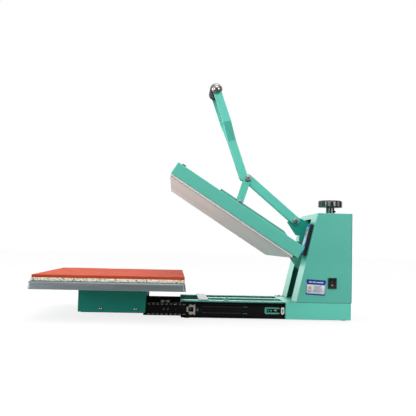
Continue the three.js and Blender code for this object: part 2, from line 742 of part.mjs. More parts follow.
function addSlides() {
  const z = SLIDE_MID_Z;
  const { front, rear } = SLIDE_OUTER;
  const slot = slideWindow(199, 243, z - 10, z + 10, 4);
  const tongue = box(100, 140, 205, 250, z - 5, z + 5);
  const outer = cut(
    alongY(slideProfile(RAIL_OUTER + GAP, 12.6, SLIDE_OUTER.height, 1.2), front, rear),
    ...sharedWindows(0.5),
    cut(slot, tongue),
    slideWindow(206.5, 211.5, z - 2.5, z + 2.5),
    slideWindow(214.5, 220.5, z - 3, z + 3),
  );
  placePair(group, "slide_outer", outer, blackSteel);

  const bumper = alongX(roundedRectangle(246, 255.5, z - 10.5, z + 10.5, 4.5), 114.2, 118.8);
  placePair(group, "slide_bumper", bumper, whitePlastic);

  const middle = cut(
    alongY(slideProfile(116.3, 7.4, SLIDE_MIDDLE.height, 0.5),
      SLIDE_MIDDLE.front, SLIDE_MIDDLE.rear),
    ...sharedWindows(0),
  );
  placePair(group, "slide_middle", middle, blackSteel);

  const inner = alongY(slideProfile(125.4, -6.2, SLIDE_INNER.height, 0.5),
    SLIDE_INNER.front, SLIDE_INNER.rear);
  placePair(group, "slide_inner", inner, blackSteel);
}

addBase();
addHousing();
addElectrics();
addController();
addUpperPlaten();
addLever();
addLink();
addPressureAdjuster();
addDrawer();
addSlides();

export default group;
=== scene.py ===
"""Looks of a slide-out clamshell heat press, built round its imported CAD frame.

Metres, in the CAD's own frame: +Y towards the housing, +X to the operator's right, +Z up,
with the origin on the floor under the middle of the machine.
"""
import json
import math

import bmesh
import bpy
from mathutils import Matrix, Vector, noise


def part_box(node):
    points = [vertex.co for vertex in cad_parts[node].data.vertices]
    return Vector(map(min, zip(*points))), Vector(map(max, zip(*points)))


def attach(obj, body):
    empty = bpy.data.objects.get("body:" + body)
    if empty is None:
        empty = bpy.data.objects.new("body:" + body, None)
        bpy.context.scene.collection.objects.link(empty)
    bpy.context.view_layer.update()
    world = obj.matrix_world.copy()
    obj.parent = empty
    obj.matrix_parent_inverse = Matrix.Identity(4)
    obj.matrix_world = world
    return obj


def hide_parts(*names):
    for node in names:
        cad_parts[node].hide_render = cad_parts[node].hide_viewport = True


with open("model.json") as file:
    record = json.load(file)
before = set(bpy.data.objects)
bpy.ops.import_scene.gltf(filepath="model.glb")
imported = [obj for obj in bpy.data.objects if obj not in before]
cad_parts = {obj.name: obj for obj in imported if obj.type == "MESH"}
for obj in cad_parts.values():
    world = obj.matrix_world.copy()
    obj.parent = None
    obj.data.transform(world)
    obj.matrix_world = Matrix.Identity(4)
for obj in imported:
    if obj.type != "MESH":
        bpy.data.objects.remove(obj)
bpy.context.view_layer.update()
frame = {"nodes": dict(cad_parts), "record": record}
scene = bpy.context.scene

MM = 0.001
OPEN_ANGLE = math.radians(32.6)  # tilt of the open upper platen
FRONT_LEAN = math.atan2(349 - 288, 311.5 - 52)  # housing front, from upright
LABEL_TILT = math.radians(-3.2)
SIDES = (("right", 1), ("left", -1))


# ---- camera, light and floor

CAMERA_AT = (2.014, -0.0668, 0.2116)
CAMERA_TURN = (2.874, 3.215, 1.273)  # yaw, pitch and roll in degrees
LENS, SENSOR = 56.86, 36


def add_camera():
    yaw, pitch, roll = (math.radians(a) for a in CAMERA_TURN)
    forward = Vector((-math.cos(pitch) * math.cos(yaw), math.cos(pitch) * math.sin(yaw), math.sin(pitch)))
    level_right = Vector((math.sin(yaw), math.cos(yaw), 0))
    level_up = level_right.cross(forward)
    right = math.cos(roll) * level_right + math.sin(roll) * level_up
    up = right.cross(forward)
    camera = bpy.data.cameras.new("camera")
    camera.sensor_width, camera.lens = SENSOR, LENS
    camera.clip_start, camera.clip_end = 0.05, 60
    holder = bpy.data.objects.new("camera", camera)
    turn = Matrix((right, up, -forward)).transposed()
    holder.matrix_world = Matrix.Translation(CAMERA_AT) @ turn.to_4x4()
    scene.collection.objects.link(holder)
    scene.camera = holder


# Name, place, what it faces, size, power, and whether it lights matt surfaces too.
LIGHTS = (
    ("front_softbox", (1.1, -2.6, 1.4), (0, 0, 0.4), (1.2, 1.6), 14, True),
    ("rear_softbox", (1.7, 2.9, 0.7), (0, 0, 0.4), (1.2, 1.6), 12, True),
    ("overhead", (-0.2, 0.1, 2.8), (0, 0.05, 0.2), (1.6, 1.8), 14, True),
    ("low_front", (0.2, -3.0, 0.45), (0, -0.1, 0.35), (2.4, 0.8), 52, True),
    ("side_key", (2.4, 0.2, 2.3), (0, 0.1, 0.3), (1.4, 1.0), 22, True),
    ("left_panel", (2.3, -1.5, 0.8), (0, 0.1, 0.4), (0.45, 1.1), 15, False),
    ("right_panel", (2.1, 1.7, 0.8), (0, 0.2, 0.4), (0.45, 1.1), 15, False),
)


def add_area_light(name, place, target, size, power, diffuse):
    light = bpy.data.lights.new(name, "AREA")
    light.shape = "RECTANGLE"
    light.size, light.size_y = size
    light.energy = power
    holder = bpy.data.objects.new(name, light)
    aim = (Vector(target) - Vector(place)).to_track_quat("-Z", "Y")
    holder.matrix_world = Matrix.Translation(place) @ aim.to_matrix().to_4x4()
    holder.visible_camera = False
    holder.visible_diffuse = diffuse
    scene.collection.objects.link(holder)


def add_world():
    """A white studio, bright overhead, dimmer in front, with a pale wall on the far side."""
    world = bpy.data.worlds.new("studio")
    world.use_nodes = True
    scene.world = world
    tree = world.node_tree
    tree.nodes.clear()
    new, link = tree.nodes.new, tree.links.new
    parts = new("ShaderNodeSeparateXYZ")
    link(new("ShaderNodeTexCoord").outputs["Generated"], parts.inputs[0])

    def eased(axis, start, end, low, high):
        made = new("ShaderNodeMapRange")
        made.interpolation_type = "SMOOTHSTEP"
        for socket, value in zip(made.inputs[1:5], (start, end, low, high)):
            socket.default_value = value
        link(parts.outputs[axis], made.inputs[0])
        return made.outputs[0]

    def combine(operation, first, second):
        made = new("ShaderNodeMath")
        made.operation = operation
        link(first, made.inputs[0])
        link(second, made.inputs[1])
        return made.outputs[0]

    sky = combine("MULTIPLY", eased("Z", 0.0, 0.75, 0.24, 2.0), eased("Y", -0.95, 0.1, 0.55, 1.0))
    sky = combine("MULTIPLY", sky, eased("Y", 0.35, 0.9, 1.0, 0.3))
    far_wall = combine("MULTIPLY", eased("X", -0.3, -0.85, 0.0, 1.7), eased("Z", 0.1, 0.7, 1.0, 0.2))
    lighting = new("ShaderNodeBackground")
    link(combine("ADD", sky, far_wall), lighting.inputs["Strength"])
    backdrop = new("ShaderNodeBackground")
    backdrop.inputs["Color"].default_value = (1, 1, 1, 1)
    seen = new("ShaderNodeLightPath").outputs["Is Camera Ray"]
    mix = new("ShaderNodeMixShader")
    link(seen, mix.inputs[0])
    link(lighting.outputs[0], mix.inputs[1])
    link(backdrop.outputs[0], mix.inputs[2])
    link(mix.outputs[0], new("ShaderNodeOutputWorld").inputs[0])


def add_floor():
    """A floor that looks white, dim to the machine except out in front of it."""
    look = Look("studio_floor", roughness=0.9, specular_ior_level=0.0, emission_color=(1, 1, 1, 1))
    seen = look.node("ShaderNodeLightPath", {}).outputs["Is Camera Ray"]
    ahead = look.node("ShaderNodeSeparateXYZ", {"Vector": look.here}).outputs["Y"]
    inputs = {"Value": ahead, "From Min": -0.5, "From Max": -1.1, "To Min": 0.06, "To Max": 1.1}
    thrown = look.node("ShaderNodeMapRange", inputs).outputs[0]
    strength = look.node("ShaderNodeMix", {0: seen, 2: thrown, 3: 0.82}).outputs[0]
    look.link(strength, "Emission Strength")
    look.finish(look.mix(look.noise(0.8), (0.13, 0.13, 0.13), (0.14, 0.14, 0.14)))
    form = bmesh.new()
    bmesh.ops.create_circle(form, cap_ends=True, radius=14, segments=64)
    mesh = bpy.data.meshes.new("studio_floor")
    form.to_mesh(mesh)
    form.free()
    mesh.materials.append(look.material)
    floor = bpy.data.objects.new("studio_floor", mesh)
    floor.location.z = -0.0004
    scene.collection.objects.link(floor)


# ---- materials

def srgb(red, green, blue):
    """Linear colour from 8-bit sRGB."""
    def linear(value):
        value /= 255
        return value / 12.92 if value <= 0.04045 else ((value + 0.055) / 1.055) ** 2.4
    return tuple(linear(v) for v in (red, green, blue))


def scaled(colour, factor):
    return tuple(min(1.0, c * factor) for c in colour)


class Look:
    """A procedural material: a Principled shader and short names for what feeds it."""

    def __init__(self, name, **values):
        self.material = bpy.data.materials.new(name)
        self.material.use_nodes = True
        self.tree = self.material.node_tree
        self.shader = self.tree.nodes["Principled BSDF"]
        self.here = self.tree.nodes.new("ShaderNodeTexCoord").outputs["Object"]
        for key, value in values.items():
            self.shader.inputs[key.replace("_", " ").title().replace("Ior", "IOR")].default_value = value

    def node(self, kind, inputs, **settings):
        made = self.tree.nodes.new(kind)
        for key, value in settings.items():
            setattr(made, key, value)
        for key, value in inputs.items():
            if isinstance(value, bpy.types.NodeSocket):
                self.tree.links.new(value, made.inputs[key])
            elif isinstance(value, tuple) and len(value) == 3 and made.inputs[key].type == "RGBA":
                made.inputs[key].default_value = (*value, 1)
            else:
                made.inputs[key].default_value = value
        return made

    def stretched(self, scale, turn=(0, 0, 0)):
        inputs = {"Vector": self.here, "Scale": scale, "Rotation": turn}
        return self.node("ShaderNodeMapping", inputs).outputs[0]

    def noise(self, scale, detail=2.0, rough=0.5, where=None):
        inputs = {"Vector": where or self.here, "Scale": scale, "Detail": detail, "Roughness": rough}
        return self.node("ShaderNodeTexNoise", inputs).outputs["Fac"]

    def cells(self, scale, feature="F1", output="Distance", where=None):
        inputs = {"Vector": where or self.here, "Scale": scale}
        return self.node("ShaderNodeTexVoronoi", inputs, feature=feature).outputs[output]

    def ramp(self, value, stops, interpolation="LINEAR"):
        made = self.node("ShaderNodeValToRGB", {"Fac": value})
        made.color_ramp.interpolation = interpolation
        elements = made.color_ramp.elements
        while len(elements) < len(stops):
            elements.new(1.0)
        for element, (place, colour) in zip(elements, stops):
            element.position = place
            grey = isinstance(colour, (int, float))
            element.color = (colour,) * 3 + (1,) if grey else (*colour, 1)
        return made.outputs["Color"]

    def mix(self, share, first, second):
        made = self.node("ShaderNodeMix", {}, data_type="RGBA")
        for index, value in ((0, share), (6, first), (7, second)):
            socket = made.inputs[index]
            if isinstance(value, bpy.types.NodeSocket):
                self.tree.links.new(value, socket)
            else:
                socket.default_value = (*value, 1) if isinstance(value, tuple) else value
        return made.outputs[2]

    def patches(self, scale, detail, rough, low=0, high=1, where=None):
        """Soft patches of noise: its middle range, moved to low..high."""
        value = self.noise(scale, detail, rough, where)
        inputs = {"Value": value, "From Min": 0.3, "From Max": 0.7, "To Min": low, "To Max": high}
        return self.node("ShaderNodeMapRange", inputs).outputs[0]

    def over(self, base, mask, share, colour):
        """The base with a share of the colour over it where the mask is white."""
        cover = self.node("ShaderNodeMath", {0: mask, 1: share}, operation="MULTIPLY")
        return self.mix(cover.outputs[0], base, colour)

    def link(self, value, socket):
        self.tree.links.new(value, self.shader.inputs[socket])

    def bump(self, height, depth, strength=1.0, below=None):
        inputs = {"Height": height, "Distance": depth, "Strength": strength}
        if below is not None:
            inputs["Normal"] = below
        return self.node("ShaderNodeBump", inputs).outputs["Normal"]

    def finish(self, colour, roughness=None, normal=None):
        """Links what is given to the shader, and returns the material."""
        for value, socket in ((colour, "Base Color"), (roughness, "Roughness"), (normal, "Normal")):
            if value is not None:
                self.link(value, socket)
        return self.material


def paint(name, colour, wear_and_highlight=False, shine=0.5):
    """Satin powder coat: slight clouding, orange peel and a few specks of dust."""
    look = Look(name, specular_ior_level=shine)
    base = look.mix(look.patches(5, 4, 0.6), scaled(colour, 0.965), scaled(colour, 1.03))
    base = look.over(base, look.patches(700, 3, 0.6), 0.10, scaled(colour, 1.2))
    specks = look.ramp(look.cells(210), [(0.0, 1), (0.03, 1), (0.05, 0)])
    base = look.over(base, specks, 0.02, scaled(colour, 0.75))
    # Lighter rubbed patches for the rounded edges: partly wear, partly painted highlight.
    if wear_and_highlight:
        rubbed_and_highlight = look.ramp(look.noise(240, 4, 0.7), [(0.45, 0), (0.72, 1)])
        base = look.over(base, rubbed_and_highlight, 0.45, scaled(colour, 1.5))
    peel = look.bump(look.noise(330, 2, 0.45), 0.00035, 0.14)
    grain = look.bump(look.noise(1500, 2), 0.0001, 0.2, peel)
    return look.finish(base, look.patches(60, 2, 0.5, 0.30, 0.33), grain)


def metal(name, colour, roughness, grain=(1, 1, 1), depth=0.25, metallic=1.0, shine=0.5):
    """Bare or plated metal with fine grain along the axis that has the smallest scale."""
    look = Look(name, metallic=metallic, specular_ior_level=shine)
    along = look.stretched(grain)
    lines = look.noise(900, 3, 0.7, along)
    base = look.mix(look.patches(25, 4, 0.6), scaled(colour, 0.86), scaled(colour, 1.08))
    base = look.over(base, lines, 0.3, scaled(colour, 0.7))
    smear = look.patches(45, 5, 0.7, roughness * 0.75, roughness * 1.35, along)
    return look.finish(base, smear, look.bump(lines, 0.0002, depth))


def zinc_plate():
    """Dull zinc plate with a faint spangle."""
    look = Look("zinc_plate", metallic=0.85)
    flakes = look.cells(260, output="Color")
    grey = look.ramp(flakes, [(0.0, (0.20, 0.205, 0.20)), (1.0, (0.29, 0.295, 0.29))])
    base = look.over(grey, look.patches(30, 4, 0.6), 0.4, (0.32, 0.33, 0.325))
    normal = look.bump(look.cells(260), 0.0002, 0.25)
    return look.finish(base, look.patches(180, 3, 0.6, 0.30, 0.46), normal)


def moulded(name, colour, low, high, grain=900, depth=0.3, sheen=0.0, shine=0.5):
    """Moulded plastic or rubber: spark-eroded grain, with shinier and duller patches."""
    look = Look(name, sheen_weight=sheen, sheen_roughness=0.5, specular_ior_level=shine)
    base = look.mix(look.patches(18, 4, 0.6), scaled(colour, 0.82), scaled(colour, 1.2))
    dust = look.ramp(look.noise(1400, 2, 0.6), [(0.62, 0), (0.8, 1)])
    base = look.over(base, dust, 0.25, scaled(colour, 2.4))
    normal = look.bump(look.noise(grain, 3, 0.6), 0.0002, depth)
    return look.finish(base, look.patches(90, 4, 0.6, low, high), normal)


def platen_coating():
    """Matt non-stick coat on a flat heated plate, with faint scuffs from cloth."""
    look = Look("platen_coating", metallic=0.15)
    base = look.mix(look.patches(4, 5, 0.6), srgb(217, 224, 221), srgb(231, 238, 234))
    scuffs = look.ramp(look.noise(70, 5, 0.7, look.stretched((0.25, 3, 1))), [(0.56, 0), (0.75, 1)])
    base = look.over(base, scuffs, 0.3, srgb(246, 244, 240))
    normal = look.bump(look.noise(1100, 3, 0.6), 0.00012, 0.35)
    return look.finish(base, look.patches(50, 4, 0.6, 0.42, 0.6), normal)


def silicone_sponge():
    """Red silicone sponge: a smooth dusty skin over tiny pits."""
    look = Look("silicone_sponge", specular_ior_level=0.03, specular_tint=(1, 0.5, 0.3, 1))
    red, bright, pit_shade = (0.42, 0.058, 0.026), (0.48, 0.076, 0.036), (0.25, 0.022, 0.010)
    pores = look.cells(1100)
    base = look.mix(look.patches(7, 5, 0.65), red, bright)
    # The pits are painted darker: painted shade in the pores.
    base = look.over(base, look.ramp(pores, [(0.0, 1), (0.28, 0.6), (0.5, 0)]), 0.35, pit_shade)
    dust = look.ramp(look.noise(420, 4, 0.7), [(0.58, 0), (0.78, 1)])
    base = look.over(base, dust, 0.12, srgb(226, 130, 108))
    normal = look.bump(look.noise(9, 2, 0.4), 0.001, 0.08, look.bump(pores, 0.0002, 0.3))
    return look.finish(base, look.patches(26, 5, 0.7, 0.55, 0.75), normal)


def speckled_foam():
    """Bonded foam: cream crumbs with a scatter of coloured ones and dark joints between."""
    look = Look("speckled_foam", roughness=0.95, sheen_weight=0.2, specular_ior_level=0.2)
    wobble = look.node("ShaderNodeTexNoise", {"Vector": look.here, "Scale": 260.0, "Detail": 2.0})
    moved = look.node("ShaderNodeVectorMath", {0: wobble.outputs["Color"], 1: (0.0011,) * 3},
                      operation="MULTIPLY").outputs[0]
    crumbs_at = look.node("ShaderNodeVectorMath", {0: look.here, 1: moved}, operation="ADD").outputs[0]
    pick = look.node("ShaderNodeSeparateColor", {"Color": look.cells(300, output="Color", where=crumbs_at)})
    cream, light, tan = srgb(232, 226, 204), srgb(246, 242, 226), srgb(216, 202, 162)
    base = look.ramp(pick.outputs[0], [(0.0, cream), (0.35, light), (0.65, cream), (0.82, tan),
                                       (0.93, light)], "CONSTANT")
    chips = [(0.0, srgb(46, 132, 190)), (0.22, srgb(70, 160, 160)), (0.38, srgb(200, 110, 60)),
             (0.52, srgb(90, 88, 92)), (0.7, srgb(214, 178, 84)), (0.86, srgb(120, 126, 150))]
    tint = look.ramp(pick.outputs[1], chips, "CONSTANT")
    base = look.over(base, look.ramp(pick.outputs[2], [(0.0, 0), (0.83, 1)], "CONSTANT"), 0.85, tint)
    joint = look.ramp(look.cells(300, "DISTANCE_TO_EDGE", where=crumbs_at), [(0.0, 1), (0.09, 0)])
    base = look.over(base, joint, 0.35, srgb(150, 140, 118))
    rough = look.bump(look.noise(1500, 3, 0.7), 0.0004, 0.6)
    return look.finish(base, normal=look.bump(look.cells(300, where=crumbs_at), 0.0012, 0.5, rough))


def fibre_board():
    look = Look("fibre_board", roughness=0.9)
    fibres = look.noise(600, 5, 0.75, look.stretched((1, 0.2, 1)))
    base = look.ramp(fibres, [(0.3, srgb(56, 38, 30)), (0.7, srgb(104, 78, 62))])
    return look.finish(base, normal=look.bump(fibres, 0.0005, 0.6))


def printed_film(name, *rgb):
    """Glossy film with a fine printed dot, from an 8-bit sRGB colour."""
    colour = srgb(*rgb)
    look = Look(name, coat_weight=0.25, coat_roughness=0.12)
    base = look.mix(look.patches(40, 3, 0.5), scaled(colour, 0.93), scaled(colour, 1.05))
    dots = look.ramp(look.cells(2600), [(0.2, 1), (0.4, 0)])
    base = look.over(base, dots, 0.08, scaled(colour, 0.7))
    normal = look.bump(look.noise(160, 2, 0.5), 0.0002, 0.08)
    return look.finish(base, look.patches(120, 3, 0.5, 0.26, 0.4), normal)


TEAL = (0.108, 0.525, 0.415)
LEVER_TEAL = (0.128, 0.585, 0.475)
DARK_TEAL = (0.022, 0.44, 0.335)

looks = {
    "teal_paint": paint("teal_powder_coat", TEAL),
    "lever_paint": paint("lever_powder_coat", LEVER_TEAL),
    "dark_paint": paint("dark_powder_coat", DARK_TEAL, shine=0.2),
    "zinc": zinc_plate(),
    "bolt_steel": metal("bright_steel", (0.29, 0.30, 0.295), 0.26, (1, 1, 1), 0.12),
    "black_steel": metal("black_zinc", (0.0055, 0.0055, 0.006), 0.4, (1, 0.06, 1), 0.2, 0.0, 0.12),
    "aluminium": metal("brushed_aluminium", (0.17, 0.20, 0.21), 0.34, (1, 0.05, 1), 0.25, 0.7),
    "plate_coating": platen_coating(),
    "black_plastic": moulded("black_plastic", (0.007, 0.007, 0.008), 0.3, 0.45),
    "white_plastic": moulded("white_plastic", (0.78, 0.77, 0.74), 0.35, 0.5),
    "label_print": printed_film("label_blue", 0, 46, 150),
    "panel_blue": printed_film("panel_blue", 0, 128, 206),
    "grip_rubber": moulded("grip_rubber", (0.012, 0.012, 0.013), 0.55, 0.75, 1300, 0.5, 0.05, 0.2),
    "foot_rubber": moulded("foot_rubber", (0.018, 0.018, 0.018), 0.7, 0.9, 700, 0.5),
    "silicone": silicone_sponge(),
    "foam": speckled_foam(),
    "board": fibre_board(),
}
# Lighter copies of the paints for the bevelled edges: a painted highlight along every edge, with rubbed
# patches of wear.
wear_and_highlight_looks = {
    "teal_paint": paint("teal_edge_highlight", scaled(TEAL, 1.1), wear_and_highlight=True),
    "lever_paint": paint("lever_edge_highlight", scaled(LEVER_TEAL, 1.1), wear_and_highlight=True),
    "dark_paint": paint("dark_edge_highlight", scaled(DARK_TEAL, 1.15), wear_and_highlight=True),
}
node_looks = {
    # The base box in a lighter copy of the teal paint: painted light.
    "base_box": paint("base_box_painted_light_coat", scaled(TEAL, 1.3)),
    # The carrier beam in a darker copy of the teal paint: painted shade.
    "carrier_beam": paint("beam_painted_shade_coat", scaled(TEAL, 0.72)),
    # The pressure bracket in a darker copy of the dark paint: painted shade from the lever over it.
    "pressure_bracket": paint("bracket_painted_shade_coat", scaled(DARK_TEAL, 0.74), shine=0.2),
}
gloss_black = moulded("gloss_black", (0.010, 0.010, 0.011), 0.10, 0.2, 500, 0.05, shine=1.0)
spindle_steel = metal("spindle_steel", (0.10, 0.10, 0.105), 0.16, (1, 1, 0.1), 0.1, 0.8)
chrome = metal("chrome", (0.32, 0.31, 0.30), 0.06, (1, 1, 1), 0.02)
dark_screw = metal("screw_steel", (0.52, 0.48, 0.46), 0.22, (1, 1, 1), 0.1)
# Pale, barely metallic steel for the ball pockets: a painted highlight for the glints of the balls.
pocket_glint_steel = metal("pocket_glint_steel", (0.62, 0.60, 0.56), 0.4, (1, 0.3, 1), 0.2, 0.2)
cage_steel = metal("cage_steel", (0.50, 0.47, 0.42), 0.42, (1, 0.2, 1), 0.2, 0.35)
# Near-black strips for the housing's joints: painted shade.
seam_shade = moulded("seam_painted_shade", (0.02, 0.02, 0.02), 0.5, 0.7)
label_white = printed_film("label_grey", 206, 212, 222)
label_ink = printed_film("label_ink", 96, 106, 124)
label_amber = printed_film("label_amber", 196, 172, 48)
# Tan strip colour: painted shade of the heating plate's chamfer.
chamfer_shade_tan = moulded("chamfer_shade_tan", srgb(160, 143, 126), 0.5, 0.7)
panel_white = printed_film("panel_white", 198, 208, 210)
panel_sky = printed_film("panel_sky", 96, 164, 214)
lcd_grey = printed_film("lcd_grey", 156, 166, 158)
lcd_dark = printed_film("lcd_dark", 58, 66, 62)
mark_white = printed_film("mark_white", 214, 216, 216)


# ---- mesh helpers

def piece(name, form, body, slot, place=None, look=None, keep_edges=True):
    """A bmesh as a named piece that rides on a body, in its slot's look or another one."""
    if place is not None:
        form.transform(place)
    bmesh.ops.recalc_face_normals(form, faces=form.faces)
    mesh = bpy.data.meshes.new(name)
    form.to_mesh(mesh)
    form.free()
    mesh.polygons.foreach_set("use_smooth", [True] * len(mesh.polygons))
    mesh.materials.append(look or looks[slot])
    made = bpy.data.objects.new(name, mesh)
    scene.collection.objects.link(made)
    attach(made, body)
    if keep_edges:
        keep_sharp(made)
    return made


def join(forms):
    """Several bmeshes as one."""
    whole = bmesh.new()
    for form in forms:
        part = bpy.data.meshes.new("part")
        form.to_mesh(part)
        whole.from_mesh(part)
        bpy.data.meshes.remove(part)
        form.free()
    return whole


def placed(form, place):
    """The same form, moved and turned."""
    form.transform(place)
    return form


def mirrored(form, sign):
    """The same form, turned over left to right for the left side."""
    return placed(form, Matrix.Scale(-1, 4, (1, 0, 0))) if sign < 0 else form


def revolve(rings, steps=48, hollow=False):
    """A form round the Z axis from rings of (radius, height).

    A radius is a number or a function of the angle, and an end radius of 0 is a point. A
    hollow form's last ring meets its first one. Any other form is closed at each end.
    """
    form = bmesh.new()
    angles = [2 * math.pi * i / steps for i in range(steps)]
    loops = []
    for radius, height in rings:
        if radius == 0:
            loops.append([form.verts.new((0, 0, height))])
            continue
        loop = []
        for a in angles:
            r = radius(a) if callable(radius) else radius
            loop.append(form.verts.new((r * math.cos(a), r * math.sin(a), height)))
        loops.append(loop)
    for low, high in zip(loops, loops[1:] + (loops[:1] if hollow else [])):
        for i in range(steps):
            j = (i + 1) % steps
            corners = [low[i % len(low)], low[j % len(low)], high[j % len(high)], high[i % len(high)]]
            form.faces.new(list(dict.fromkeys(corners)))
    for loop in () if hollow else (loops[0], loops[-1]):
        if len(loop) > 1:
            form.faces.new(loop)
    return form


def arc(centre, radius, start, end, steps=4):
    """Points of an arc, angles in degrees."""
    points = []
    for i in range(steps + 1):
        a = math.radians(start + (end - start) * i / steps)
        points.append((centre[0] + radius * math.cos(a), centre[1] + radius * math.sin(a)))
    return points


def block(low, high, radius=0.0006, cells=(1, 1, 1), arc_steps=3):
    """A box with rounded edges; cells is the number of faces along each side's flat part."""
    lows, highs = Vector(low), Vector(high)
    radius = min(radius, *((h - l) * 0.49 for l, h in zip(lows, highs)))
    ease = [radius - radius * math.tan(math.radians(45 - 45 * i / arc_steps)) for i in range(arc_steps)]
    lines = []
    for l, h, count in zip(lows, highs, cells):
        flat = [l + radius + (h - l - 2 * radius) * i / count for i in range(count + 1)]
        lines.append([l + e for e in ease] + flat + [h - e for e in reversed(ease)])
    form = bmesh.new()
    points = {}

    def corner(i, j, k):
        if (i, j, k) not in points:
            p = Vector((lines[0][i], lines[1][j], lines[2][k]))
            core = Vector(min(max(c, l + radius), h - radius) for c, l, h in zip(p, lows, highs))
            points[i, j, k] = form.verts.new(core + (p - core).normalized() * radius)
        return points[i, j, k]

    last = [len(line) - 1 for line in lines]
    for axis in range(3):
        u, v = (axis + 1) % 3, (axis + 2) % 3
        for end in (0, last[axis]):
            for a in range(last[u]):
                for b in range(last[v]):
                    face = []
                    for da, db in ((0, 0), (1, 0), (1, 1), (0, 1)):
                        index = [0, 0, 0]
                        index[axis], index[u], index[v] = end, a + da, b + db
                        face.append(corner(*index))
                    form.faces.new(face)
    return form


def plate(outline, thickness, edge=0.0003):
    """A flat plate in the XY plane from 0 up to its thickness, with eased edges."""
    form = bmesh.new()
    bottom = form.faces.new([form.verts.new((x, y, 0)) for x, y in outline])
    grown = bmesh.ops.extrude_face_region(form, geom=[bottom])
    top = [v for v in grown["geom"] if isinstance(v, bmesh.types.BMVert)]
    bmesh.ops.translate(form, verts=top, vec=(0, 0, thickness))
    rims = [e for e in form.edges if abs(e.verts[0].co.z - e.verts[1].co.z) < 1e-9]
    bmesh.ops.bevel(form, geom=rims, offset=min(edge, thickness * 0.4), segments=2, profile=0.5,
                    affect="EDGES", clamp_overlap=True)
    return form


def tile(x, y, width, height, radius, depth, edge, steps=5):
    """A plate with rounded corners round x, y. All sizes are in millimetres."""
    r = radius * MM
    w, h = width * MM / 2 - r, height * MM / 2 - r
    outline = []
    for i, corner in enumerate(((w, h), (-w, h), (-w, -h), (w, -h))):
        outline += arc(corner, r, 90 * i, 90 * i + 90, steps)
    return placed(plate(outline, depth * MM, edge * MM), moved((x * MM, y * MM, 0)))


def roughen_sides(form, depth, scale):
    """Moves each vertex of the sides inwards by a smooth noise, up to depth."""
    form.normal_update()
    moves = []
    for v in form.verts:
        if abs(v.normal.z) > 0.9:
            continue
        share = 0.5 + 0.5 * noise.noise(v.co * scale)
        moves.append((v, -v.normal * depth * min(max(share, 0), 1)))
    for v, move in moves:
        v.co += move


def box_middle(node):
    low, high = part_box(node)
    return (low + high) / 2


def half_size(node):
    low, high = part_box(node)
    return (high - low) / 2


def facing(sign):
    """Turns a form made along Z so that it runs along +X, or -X for the left side."""
    return Matrix.Rotation(sign * math.pi / 2, 4, "Y")


FACING_BACK = Matrix.Rotation(-math.pi / 2, 4, "X")
# Stands a flat form up so that its face is to the right and its top is up.
FACE_RIGHT = Matrix(((0, 0, 1, 0), (1, 0, 0, 0), (0, 1, 0, 0), (0, 0, 0, 1)))


def moved(point, turn=None):
    return Matrix.Translation(point) @ (turn or Matrix.Identity(4))


def both_ways(rings, node, steps):
    """A form made along Z, set in a node's middle and run out to the right and to the left."""
    middle = box_middle(node)
    return join([placed(revolve(rings, steps), moved(middle, facing(sign))) for sign in (1, -1)])


def hexagon(apothem):
    """Radius function of a hexagon."""
    sector = math.pi / 3
    return lambda a: apothem / math.cos((a % sector) - sector / 2)


def button_head(radius, height, socket, base=0.0):
    """Rings of a domed screw head with a hexagon socket, seated at height base."""
    rings = [(radius * 0.96, base), (radius, base + height * 0.12)]
    for r, h in arc((0, 0), 1, 12, 62, 5):
        rings.append((radius * r, base + height * (0.12 + 0.88 * h / math.sin(math.radians(62)))))
    top = base + height
    rings += [(socket * 1.28, top), (hexagon(socket), top - height * 0.04),
              (hexagon(socket * 0.97), top - height * 0.55), (0, top - height * 0.68)]
    return rings


# ---- CAD nodes

def smoothing_group(degrees):
    """Geometry nodes that smooth shading and keep edges over an angle sharp."""
    group = bpy.data.node_groups.new(f"smooth_under_{degrees}", "GeometryNodeTree")
    group.interface.new_socket("Geometry", in_out="INPUT", socket_type="NodeSocketGeometry")
    group.interface.new_socket("Geometry", in_out="OUTPUT", socket_type="NodeSocketGeometry")
    new, link = group.nodes.new, group.links.new
    start, end = new("NodeGroupInput"), new("NodeGroupOutput")
    normal = new("GeometryNodeSetMeshNormal")
    normal.mode = "SHARPNESS"
    normal.inputs["Remove Custom"].default_value = True
    normal.inputs["Face Sharpness"].default_value = False
    sharp = new("FunctionNodeCompare")
    sharp.data_type = "FLOAT"
    sharp.operation = "GREATER_THAN"
    sharp.inputs[1].default_value = math.radians(degrees)
    link(new("GeometryNodeInputMeshEdgeAngle").outputs["Unsigned Angle"], sharp.inputs[0])
    link(sharp.outputs[0], normal.inputs["Edge Sharpness"])
    link(start.outputs[0], normal.inputs["Mesh"])
    link(normal.outputs[0], end.inputs[0])
    return group


SMOOTHING = smoothing_group(50)
CRISP = smoothing_group(26)


def keep_sharp(target, smoothing=SMOOTHING):
    """Shades a mesh smoothly but for its sharp edges."""
    target.modifiers.new("shading", "NODES").node_group = smoothing
    target.modifiers.new("normals", "WEIGHTED_NORMAL").keep_sharp = True


def soften(target, width, segments=2, edge_material=-1, smoothing=SMOOTHING):
    """Rolls a mesh's sharp edges over and shades it smoothly, by modifiers only."""
    target.modifiers.new("merge", "WELD").merge_threshold = 1e-5
    flat = target.modifiers.new("flat_faces", "DECIMATE")
    flat.decimate_type = "DISSOLVE"
    flat.angle_limit = math.radians(0.4)
    bevel = target.modifiers.new("edges", "BEVEL")
    bevel.width = width
    bevel.segments = segments
    bevel.limit_method = "ANGLE"
    bevel.angle_limit = math.radians(35)
    bevel.material = edge_material
    keep_sharp(target, smoothing)


